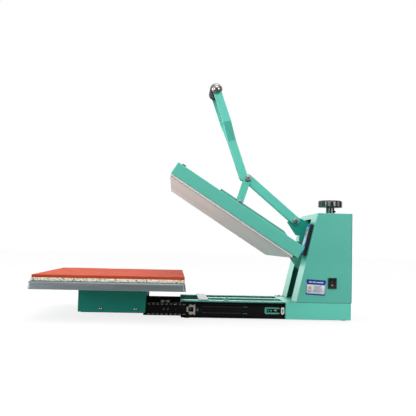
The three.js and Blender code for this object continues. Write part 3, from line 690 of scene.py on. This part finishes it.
EDGE_WIDTHS = {
    "housing_shell": 1.4, "heat_cover": 1.4, "base_box": 1.2, "carrier_beam": 1.0, "lever_bar": 0.7,
    "heating_plate": 0.8, "base_rail": 0.5, "drawer_bracket": 0.8, "lower_platen": 1.0,
    "slide": 0.35, "controller_case": 1.2, "controller_panel": 0.2, "rating_label": 0.1,
    "switch_bezel": 0.6, "power_rocker": 0.5, "cover_cap": 1.0, "controller_button": 0.4,
}


def dress_cad():
    slots = {s["node"]: s["material_slot"] for s in frame["record"]["subparts"]}
    for name, target in frame["nodes"].items():
        slot = slots[name]
        target.data.materials.clear()
        target.data.materials.append(node_looks.get(name, looks[slot]))
        edge_material = -1
        if slot in wear_and_highlight_looks:
            target.data.materials.append(wear_and_highlight_looks[slot])
            edge_material = 1
        widths = [w for prefix, w in EDGE_WIDTHS.items() if name.startswith(prefix)]
        width = (widths[0] if widths else 0.5) * MM
        if name.startswith("lever_bar"):
            soften(target, width, 4, edge_material, CRISP)
        else:
            soften(target, width, 2, edge_material)


# ---- upper platen

# The open platen's own axes, which start at the heat cover's front top edge.
PLATEN = Matrix.Translation((0, -60.9 * MM, 432.5 * MM)) @ Matrix.Rotation(-OPEN_ANGLE, 4, "X")


def add_plate_chamfer_shade():
    """A thin tan strip along the lower edge of the heating plate's sides: painted shade of the plate's
    chamfer.
    """
    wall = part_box("heating_plate")[1].x
    inside, outside = wall - 0.6 * MM, wall + 0.3 * MM
    forms = []
    for x0, x1 in ((-outside, -inside), (inside, outside)):
        forms.append(block((x0, 2.8 * MM, -43 * MM), (x1, 397.1 * MM, -41.2 * MM), 0.3 * MM))
    piece("plate_chamfer_shade", join(forms), "upper_platen", "plate_coating", PLATEN, chamfer_shade_tan, False)


# ---- pads

def add_pads():
    centre = box_middle("silicone_pad")
    sheet = block(*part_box("silicone_pad"), 0.0009, (56, 46, 2))
    for v in sheet.verts:  # the sheet's edges wander a little, as cut sponge does
        wander = noise.noise(Vector((v.co.x, v.co.y, 0)) * 9) * 0.0011 - 0.0012
        v.co.x += wander * math.copysign(1, v.co.x - centre.x) * (abs(v.co.x - centre.x) > 0.25)
        v.co.y += wander * math.copysign(1, v.co.y - centre.y) * (abs(v.co.y - centre.y) > 0.2)
        if v.co.z > centre.z:
            v.co.z -= 0.00035 * (1 + noise.noise(v.co * 14))
    pad = piece("silicone_sheet", sheet, "drawer", "silicone", keep_edges=False)
    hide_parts("silicone_pad")

    slab = block(*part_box("foam_pad"), 0.0012, (140, 112, 4), 2)
    roughen_sides(slab, 0.0011, 420)
    foam = piece("foam_slab", slab, "drawer", "foam", keep_edges=False)
    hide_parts("foam_pad")


# ---- lever, link and bolts

BOLT_SHANK = 5 * MM
WASHER = 1.5 * MM


def bolt_rings(radius, seat, head, share):
    """Rings of a bolt's end: shank, washer at height seat, and a head of a share of its radius."""
    ease, top = WASHER * 0.3, seat + WASHER
    rings = [(BOLT_SHANK, 0), (BOLT_SHANK, seat), (radius - ease, seat), (radius, seat + ease)]
    rings += [(radius, top - ease), (radius - ease, top)]
    return rings + button_head(radius * share, head, radius * 0.4, top)


def cross_bolt(node, name, body, head):
    """A bolt along X with a washer and a socket head at both ends, in a CAD bolt's place."""
    half = half_size(node)
    rings = bolt_rings(half.z, half.x - head - WASHER, head, 0.86)
    made = piece(name, both_ways(rings, node, 48), body, "bolt_steel")
    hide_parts(node)


def add_bolts():
    cross_bolt("elbow_bolt", "elbow_socket_bolt", "lever", 4.8 * MM)
    cross_bolt("lever_pivot_bolt", "pivot_socket_bolt", "pressure_bracket", 4.4 * MM)
    head, under_head = 4 * MM, 1.7 * MM
    for side, sign in SIDES:
        node = f"link_bolt_{side}"
        half, root = half_size(node), box_middle(node)
        rings = bolt_rings(half.z, 2 * half.x - head - under_head, head, 0.84)
        root.x -= sign * half.x
        made = piece(f"link_socket_bolt_{side}", revolve(rings, 40), "link", "bolt_steel",
                     moved(root, facing(sign)))
        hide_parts(node)


def add_grip():
    half, _, outer = half_size("grip")
    inner = 4.4 * MM
    corner = 2.2 * MM
    line = [(inner, -half), (outer - corner, -half)]
    line += [(outer - corner + r, -half + corner + h) for r, h in arc((0, 0), corner, -90, 0)]
    for groove in (-26, -20, 20, 26):  # shallow grooves near the ends of the sleeve
        g = groove * MM
        line += [(outer, g - 1.6 * MM), (outer - 0.9 * MM, g - 0.8 * MM), (outer - 0.9 * MM, g + 0.8 * MM),
                 (outer, g + 1.6 * MM)]
    line += [(outer - corner + r, half - corner + h) for r, h in arc((0, 0), corner, 0, 90)]
    line += [(inner, half)]
    sleeve = piece("grip_sleeve", revolve(line, 56, hollow=True), "lever", "grip_rubber",
                   moved(box_middle("grip"), facing(1)))
    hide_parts("grip")

    half, _, radius = half_size("grip_bolt")
    seat = half - 12 * MM
    rings = [(4 * MM, 0), (4 * MM, seat), (radius * 0.93, seat), (radius, seat + 1.0 * MM)]
    rings += [(radius * math.cos(a), seat + 1.2 * MM + (half - seat - 1.2 * MM) * math.sin(a))
              for a in (math.radians(6 * i) for i in range(15))]
    rings += [(0, half)]
    made = piece("grip_dome_caps", both_ways(rings, "grip_bolt", 64), "lever", "bolt_steel", look=chrome)
    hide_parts("grip_bolt")


# ---- pressure knob

def add_knob():
    low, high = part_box("pressure_knob")
    centre = box_middle("pressure_knob")
    outer = half_size("pressure_knob").x
    height = high.z - low.z
    lobes = 8

    def lobed(size, depth):
        return lambda a: size - depth * (1 - abs(math.cos(a * lobes / 2)) ** 0.55)

    rim, foot, top = outer - 0.2 * MM, 0.4 * MM, height - 0.3 * MM
    rings = [(13.5 * MM, 0.0), (14.5 * MM, 0.3 * MM), (15 * MM, 2.5 * MM), (24 * MM, 2.8 * MM)]
    rings += [(lobed(rim - 3.4 * MM, 1.6 * MM), foot + 0.3 * MM), (lobed(rim - 1.5 * MM, 2.4 * MM), foot)]
    for inset, up in ((0.5, 0.7), (0.1, 2.0), (0, 4.2)):
        rings.append((lobed(rim - inset * MM, 2.9 * MM), foot + up * MM))
    for inset, down in ((0, 5.0), (0.3, 3.2), (0.9, 1.9), (1.9, 0.9), (3.4, 0.3), (5.2, 0.0)):
        rings.append((lobed(rim - inset * MM, (2.9 - 0.3 * inset) * MM), top - down * MM))
    rings += [(24 * MM, top), (16 * MM, top), (15.2 * MM, top - 1.0 * MM), (14 * MM, top - 1.1 * MM)]
    rings += [(13.2 * MM, top - 0.3 * MM), (6 * MM, top + 0.25 * MM), (0, height)]
    knob = piece("star_knob", revolve(rings, 128), "pressure_knob", "black_plastic",
                 moved((centre.x, centre.y, low.z)), gloss_black)
    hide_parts("pressure_knob")

    low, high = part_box("pressure_screw")
    thread, pitch = 6 * MM, 2 * MM
    collar = 13.2 * MM
    collar_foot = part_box("housing_shell")[1].z + 0.3 * MM
    rings = [(thread - 1.4 * MM, low.z), (thread - 0.8 * MM, low.z + 0.8 * MM)]
    z = low.z + 1.4 * MM
    while z + pitch < collar_foot - 3 * MM:
        rings += [(thread, z), (thread, z + 0.25 * pitch), (thread - 1.1 * MM, z + 0.5 * pitch)]
        rings += [(thread - 1.1 * MM, z + 0.75 * pitch)]
        z += pitch
    rings += [(thread, collar_foot - 2 * MM), (thread, collar_foot), (collar - 0.8 * MM, collar_foot)]
    rings += [(collar, collar_foot + 0.8 * MM), (collar, high.z - 0.9 * MM), (collar - 0.9 * MM, high.z)]
    stem = piece("pressure_spindle", revolve(rings), "pressure_knob", "black_steel",
                 moved((centre.x, centre.y, 0)), spindle_steel)
    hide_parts("pressure_screw")

    head = [(3 * MM, 0), (3 * MM, 3.6 * MM), (2.6 * MM, 4.0 * MM), (hexagon(1.5 * MM), 4.0 * MM),
            (hexagon(1.5 * MM), 2.4 * MM), (0, 2.0 * MM)]
    place = moved((centre.x, centre.y + collar - 0.4 * MM, high.z - 12 * MM), FACING_BACK)
    piece("collar_set_screw", revolve(head, 36), "pressure_knob", "black_steel", place)


# ---- drawer slides

SLIDE_MIDDLE_Z = 26 * MM
BALL_ROW = 14.0 * MM  # from the slide's centre line up and down to the rows of balls
BALL_PITCH = 12.6 * MM
BALL_RADIUS = 1.75 * MM


def screws(name, heads, turn, body="frame", look=None, keep_edges=True):
    """Pan head screws that face one way, each a radius and a height in millimetres, and a place."""
    forms = []
    for r, h, place in heads:
        rings = [(r * 0.9 * MM, -0.6 * MM)] + button_head(r * MM, h * MM, r * 0.42 * MM)
        forms.append(placed(revolve(rings, 32), moved(place, turn)))
    piece(name, join(forms), body, "bolt_steel", None, look, keep_edges)


def slide_balls(side, sign, front, rear, x):
    """Two rows of balls, each ball in a pocket of a pressed strip."""
    balls, pockets = [], []
    for row in (-1, 1):
        z = SLIDE_MIDDLE_Z + row * BALL_ROW
        y = rear - 12 * MM
        while y > front + 4 * MM:
            ball = bmesh.new()
            bmesh.ops.create_icosphere(ball, subdivisions=3, radius=BALL_RADIUS)
            balls.append(placed(ball, moved((sign * x, y, z))))
            low = (sign * x - 0.5 * MM, y - 3.4 * MM, z - 1.35 * MM)
            high = (sign * x + 0.5 * MM, y + 3.4 * MM, z + 1.35 * MM)
            pockets.append(block(low, high, 0.4 * MM))
            y -= BALL_PITCH
    body = f"slide_middle_{side}"
    piece(f"slide_balls_{side}", join(balls), body, "bolt_steel")
    # The pockets' pale steel is a painted highlight for the glints of the balls.
    piece(f"slide_pockets_{side}", join(pockets), body, "zinc", look=pocket_glint_steel)


def slide_cage_end(side, sign, front, x):
    """The end of the ball strips: a pressed frame round an open middle."""
    def bar(y0, y1, z0, z1, depth=1.1):
        low = (0, front + y0 * MM, SLIDE_MIDDLE_Z + z0 * MM)
        high = (depth * MM, front + y1 * MM, SLIDE_MIDDLE_Z + z1 * MM)
        return block(low, high, 0.35 * MM)

    forms = [bar(0, 5.2, -7, 7), bar(20, 25, -15.4, 15.4)]
    for up in (-1, 1):
        for start, end, near, far in ((4.6, 9, 5.6, 7), (6.5, 21, 6.6, 13.2), (9.5, 15, 12.6, 15.4)):
            forms.append(bar(start, end, *sorted((up * near, up * far))))
        forms.append(bar(21.4, 24, *sorted((up * 9.5, up * 13)), 1.2))
    piece(f"slide_cage_{side}", mirrored(join(forms), sign), f"slide_middle_{side}", "zinc",
          moved((sign * x, 0, 0)), cage_steel)


def slide_release(side, sign, back):
    """Plastic catch on the inner face of the middle member, seen from inside the machine."""
    rise = 2.2
    outline = [(-6.5, -3.2), (3, -3.2), (6.5, -1), (6.5, 1), (3, 3.2), (-6.5, 3.2), (-4, 0)]
    forms = []
    for y, turn in ((-99.6, 1), (-82.0, -1)):
        arrow = plate([(turn * a * MM, b * MM) for a, b in outline], 1.2 * MM, 0.2 * MM)
        forms.append(placed(arrow, moved((y * MM, rise * MM, 0))))
    forms.append(tile(-90.8, rise, 27, 1.4, 0.6, 0.7, 0.1))
    turn = Matrix(((0, 0, -sign, 0), (1, 0, 0, 0), (0, 1, 0, 0), (0, 0, 0, 1)))
    piece(f"slide_release_{side}", join(forms), f"slide_middle_{side}", "white_plastic",
          moved((sign * back, 0, SLIDE_MIDDLE_Z), turn))


def add_bumper_slots():
    """A thin black film in the middle of each white slide bumper: painted shade for the slot in it."""
    for side, sign in SIDES:
        middle = box_middle(f"slide_bumper_{side}")
        middle.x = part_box(f"slide_bumper_{side}")[sign > 0].x
        piece(f"slide_bumper_slot_shade_{side}", tile(0, 0, 10, 2.6, 1.2, 0.15, 0.03), "frame",
              "black_plastic", moved(middle, facing(sign)), keep_edges=False)


def slide_beads(side, sign, face):
    """Two long stiffening beads on the outer face of the middle member."""
    forms = []
    for row in (-9, 8.6):
        low = (face - 0.3 * MM, 18 * MM, SLIDE_MIDDLE_Z + (row - 0.9) * MM)
        high = (face + 0.9 * MM, 131 * MM, SLIDE_MIDDLE_Z + (row + 0.9) * MM)
        forms.append(block(low, high, 0.6 * MM))
    piece(f"slide_beads_{side}", mirrored(join(forms), sign), f"slide_middle_{side}", "black_steel",
          look=looks["black_plastic"])


def add_slides():
    for side, sign in SIDES:
        middle_low, middle_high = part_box(f"slide_middle_{side}")
        outward = middle_high.x if sign > 0 else -middle_low.x
        back = middle_low.x if sign > 0 else -middle_high.x
        cage_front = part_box(f"slide_inner_{side}")[1].y + 2.2 * MM
        slide_balls(side, sign, middle_low.y, cage_front + 5 * MM, outward - 2.4 * MM)
        slide_cage_end(side, sign, cage_front, back + 1.65 * MM)
        slide_release(side, sign, back + 0.1 * MM)
        slide_beads(side, sign, back + 1.5 * MM)


def add_screws():
    """Small fixings: drawer bracket, slides, rear panel."""
    for side, sign in SIDES:
        turn = facing(sign)
        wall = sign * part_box("drawer_bracket")[1].x
        heads = [(4.7, 2.9, (wall, y * MM, 25 * MM)) for y in (-269.6, -171.5)]
        screws(f"bracket_screws_{side}", heads, turn, "drawer", dark_screw)

        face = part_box(f"slide_inner_{side}")[sign > 0].x
        rivets = ((-92, 2.4), (-80.5, 1.9), (-57.5, 1.3))
        heads = [(size, 0.9, (face, y * MM, SLIDE_MIDDLE_Z)) for y, size in rivets]
        screws(f"slide_rivets_{side}", heads, turn, "drawer")

        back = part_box(f"slide_outer_{side}")[sign < 0].x + sign * 1.5 * MM
        screws(f"slide_rear_screw_{side}", [(4.2, 2.2, (back, 231 * MM, SLIDE_MIDDLE_Z))], turn)

    low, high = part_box("rear_panel")
    rows = (low.z + 12 * MM, box_middle("rear_panel").z, high.z - 12 * MM)
    heads = [(3.8, 1.2, (x, high.y, z)) for x in (low.x + 10 * MM, high.x - 10 * MM) for z in rows]
    screws("rear_panel_screws", heads, FACING_BACK)


# ---- label, controller, switch

def add_label():
    """Generic printed bars and patches on the sticker. Sizes are in millimetres."""
    depth = 0.12
    centre = box_middle("rating_label")
    centre.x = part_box("rating_label")[1].x
    lay = moved(centre, Matrix.Rotation(LABEL_TILT, 4, "X") @ FACE_RIGHT)

    def inlay(name, forms, look, level=0):
        whole = placed(join(forms), moved((0, 0, level * depth * MM)))
        piece(name, whole, "frame", "label_print", lay, look, False)

    def bar(x0, x1, y, height):
        return tile((x0 + x1) / 2, y, x1 - x0, height, height * 0.3, depth, 0.02, 3)

    inlay("label_field", [tile(0, -5.5, 52, 26, 1.5, depth, 0.02)], label_white)
    bars = [bar(-6, end, 3.6 - row * 3.2, 1.3) for row, end in enumerate((18, 14, 20, 17, 19, 12))]
    bars += [bar(-23, end, -10.6 - row * 3, 1.2) for row, end in enumerate((-11, -13))]
    inlay("label_bars", bars, label_ink, 1)
    inlay("label_patch", [tile(-17, -2, 8.5, 8, 2, depth, 0.02)], label_amber, 1)
    header = [bar(start, end, 14.6, 3.0) for start, end in ((-21, -12), (-10.5, -1), (0.5, 21))]
    inlay("label_header", header, label_white)
    rim = [tile(x, -2, 0.9, 30, 0.4, depth, 0.02, 3) for x in (27.6, -27.6)]
    inlay("label_rim", rim, label_white)


SEGMENTS = {"1": "bc", "8": "abcdefg", "0": "abcdef", "6": "acdefg"}


def digit(character):
    """Seven-segment digit, centred, 4.2 by 5.8 mm."""
    w, h, stroke = 2.1, 2.9, 0.8
    bars = {
        "a": (0, h, 1), "g": (0, 0, 1), "d": (0, -h, 1), "f": (-w, h / 2, 0), "b": (w, h / 2, 0),
        "e": (-w, -h / 2, 0), "c": (w, -h / 2, 0),
    }
    forms = []
    for name in SEGMENTS[character]:
        x, y, flat = bars[name]
        size = (w * 1.64, stroke) if flat else (stroke, h * 0.86)
        forms.append(tile(x, y, *size, stroke * 0.35, 0.1, 0.03, 2))
    return forms


def add_controller():
    case_foot, case_top, panel_face = 0.3 * MM, 11 * MM, 12.4 * MM  # over the housing's front
    lean = Matrix.Rotation(math.pi / 2 - FRONT_LEAN, 4, "X")
    face = moved((0, 0, panel_face - (case_foot + case_top) / 2))
    lay = moved(box_middle("controller_case"), lean) @ face

    def inlay(name, forms, look, slot, level=0.0):
        whole = placed(join(forms), moved((0, 0, level * MM)))
        piece(name, whole, "frame", slot, lay, look, False)

    def film(x, y, width, height, radius, depth):
        return tile(x, y, width, height, radius, depth, 0.08, 4)

    inlay("controller_window", [film(0, 22, 34, 29, 1.5, 0.3)], panel_white, "panel_blue")
    inlay("controller_display", [film(0, 22, 30, 24, 1.0, 0.35)], lcd_grey, "label_print", 0.25)
    digits = []
    for row, text in ((27.5, "180"), (16.5, "060")):
        for column, character in enumerate(text):
            place = moved(((-8 + column * 8) * MM, row * MM, 0))
            digits += [placed(form, place) for form in digit(character)]
    inlay("controller_digits", digits, lcd_dark, "black_plastic", 0.58)
    inlay("controller_band", [film(0, -12.5, 35, 11, 0.8, 0.15)], panel_sky, "panel_blue")
    marks = [film(x, -24.5, 8, 1.4, 0.5, 0.15) for x in (-12, 0, 12)]
    marks += [film(x, -1, 3.0, 3.0, 1.4, 0.2) for x in (-12, 0, 12)]
    inlay("controller_marks", marks, mark_white, "panel_blue")


def add_switch_marks():
    """A stroke and a ring on the two slopes of the rocker's face."""
    tilt, slope = math.radians(8), math.atan2(2.0, 11)
    wall, height = 125 * MM, 108.7 * MM  # the rocker's pivot, in the housing's side
    stroke = placed(tile(0, 0, 0.8, 2.6, 0.3, 0.12, 0.03, 3),
                    moved((0, 3.9 * MM, 2.4 * MM), Matrix.Rotation(slope, 4, "X")))
    rings = [(1.5 * MM, 0), (2.2 * MM, 0), (2.2 * MM, 0.12 * MM), (1.5 * MM, 0.12 * MM)]
    ring = placed(revolve(rings, 28, hollow=True),
                  moved((0, -5.6 * MM, 2.7 * MM), Matrix.Rotation(-slope, 4, "X")))
    place = moved((wall, box_middle("power_rocker").y, height), Matrix.Rotation(tilt, 4, "Y") @ FACE_RIGHT)
    piece("rocker_marks", join([stroke, ring]), "power_rocker", "white_plastic", place, mark_white, False)


def add_inlet():
    middle = box_middle("power_inlet")
    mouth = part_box("power_inlet")[1].y
    forms = []
    for x, z in ((-7, -1.5), (7, -1.5), (0, 3.5)):
        forms.append(block(
            (middle.x + (x - 1) * MM, mouth - 19 * MM, middle.z + (z - 2) * MM),
            (middle.x + (x + 1) * MM, mouth - 5 * MM, middle.z + (z + 2) * MM), 0.5 * MM))
    piece("inlet_pins", join(forms), "frame", "bolt_steel", keep_edges=False)
    heads = [(2.8, 0.25, (middle.x + x * MM, mouth - 0.3 * MM, middle.z)) for x in (-20, 20)]
    screws("inlet_screws", heads, FACING_BACK, keep_edges=False)


# ---- base and feet

def add_feet():
    for node in (f"foot_{end}_{side}" for end in ("front", "rear") for side in ("left", "right")):
        base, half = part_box(node)[0].z, half_size(node)
        middle = box_middle(node)
        r, h = half.x, 2 * half.z
        rings = [(2.2 * MM, h * 0.45), (2.4 * MM, 0.2 * MM), (3.0 * MM, 0), (r - 1.6 * MM, 0)]
        rings += [(r - 0.6 * MM, 0.25 * MM), (r - 0.1 * MM, 0.9 * MM), (r, h - 0.4 * MM), (r - 0.4 * MM, h)]
        foot = piece(f"rubber_{node}", revolve(rings, 40), "frame", "foot_rubber",
                     moved((middle.x, middle.y, base)))
        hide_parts(node)


def add_foot_flanges():
    """Small angle tabs that hold the housing's front strips on the base rails."""
    rail_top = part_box("base_rail_right")[1].z
    for side, sign in SIDES:
        tab = block((-15 * MM, 264 * MM, 0), (15 * MM, 287.6 * MM, 1.6 * MM), 0.5 * MM)
        piece(f"strip_tab_{side}", tab, "frame", "teal_paint",
              moved((sign * 108 * MM, 0, rail_top + 0.3 * MM)), keep_edges=False)
        head = (3.6, 2.0, (sign * 106 * MM, 275 * MM, rail_top + 1.9 * MM))
        screws(f"strip_tab_screw_{side}", [head], None)


def add_rail_lug():
    """A half-round lug with a steel hoop, pressed up from the right base rail."""
    place = moved((92 * MM, 89 * MM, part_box("base_rail_right")[1].z), FACE_RIGHT)
    lug = plate(arc((0, 0), 6.4 * MM, 0, 180, 14), 4 * MM, 0.6 * MM)
    outline = arc((0, 0), 8.2 * MM, 0, 180, 16) + arc((0, 0), 6.6 * MM, 180, 0, 16)
    hoop = plate(outline, 6 * MM, 0.2 * MM)
    piece("rail_lug", lug, "frame", "teal_paint", place @ moved((0, 0, -2 * MM)))
    piece("rail_lug_hoop", hoop, "frame", "bolt_steel", place @ moved((0, 0, -3 * MM)), dark_screw)


def add_seam():
    """Dark strips in the joints of the housing with the base box and the rear panel: painted shade for the
    shadow in these gaps.
    """
    low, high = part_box("housing_shell")
    depth, proud = 2 * MM, 0.08 * MM
    foot, top = low.z - 0.75 * MM, low.z + 0.25 * MM
    forms = []
    for x0, x1, y0, y1 in ((high.x - depth, high.x + proud, low.y, high.y),
                           (low.x - proud, low.x + depth, low.y, high.y),
                           (low.x, high.x, high.y - depth, high.y + proud)):
        forms.append(block((x0, y0, foot), (x1, y1, top), 0.05 * MM))
    for x in (low.x + 1 * MM, high.x - 1 * MM):
        forms.append(block((x - 1.1 * MM, high.y - 0.1 * MM, low.z),
                           (x + 1.1 * MM, high.y + 0.5 * MM, high.z), 0.05 * MM))
    piece("housing_seam_shade", join(forms), "frame", "foot_rubber", None, seam_shade, False)


# ---- everything

scene.view_settings.view_transform = "Standard"
add_camera()
add_world()
add_floor()
for light in LIGHTS:
    add_area_light(*light)

dress_cad()
add_plate_chamfer_shade()
add_pads()
add_bolts()
add_grip()
add_knob()
add_slides()
add_bumper_slots()
add_screws()
add_label()
add_controller()
add_switch_marks()
add_inlet()
add_feet()
add_foot_flanges()
add_rail_lug()
add_seam()
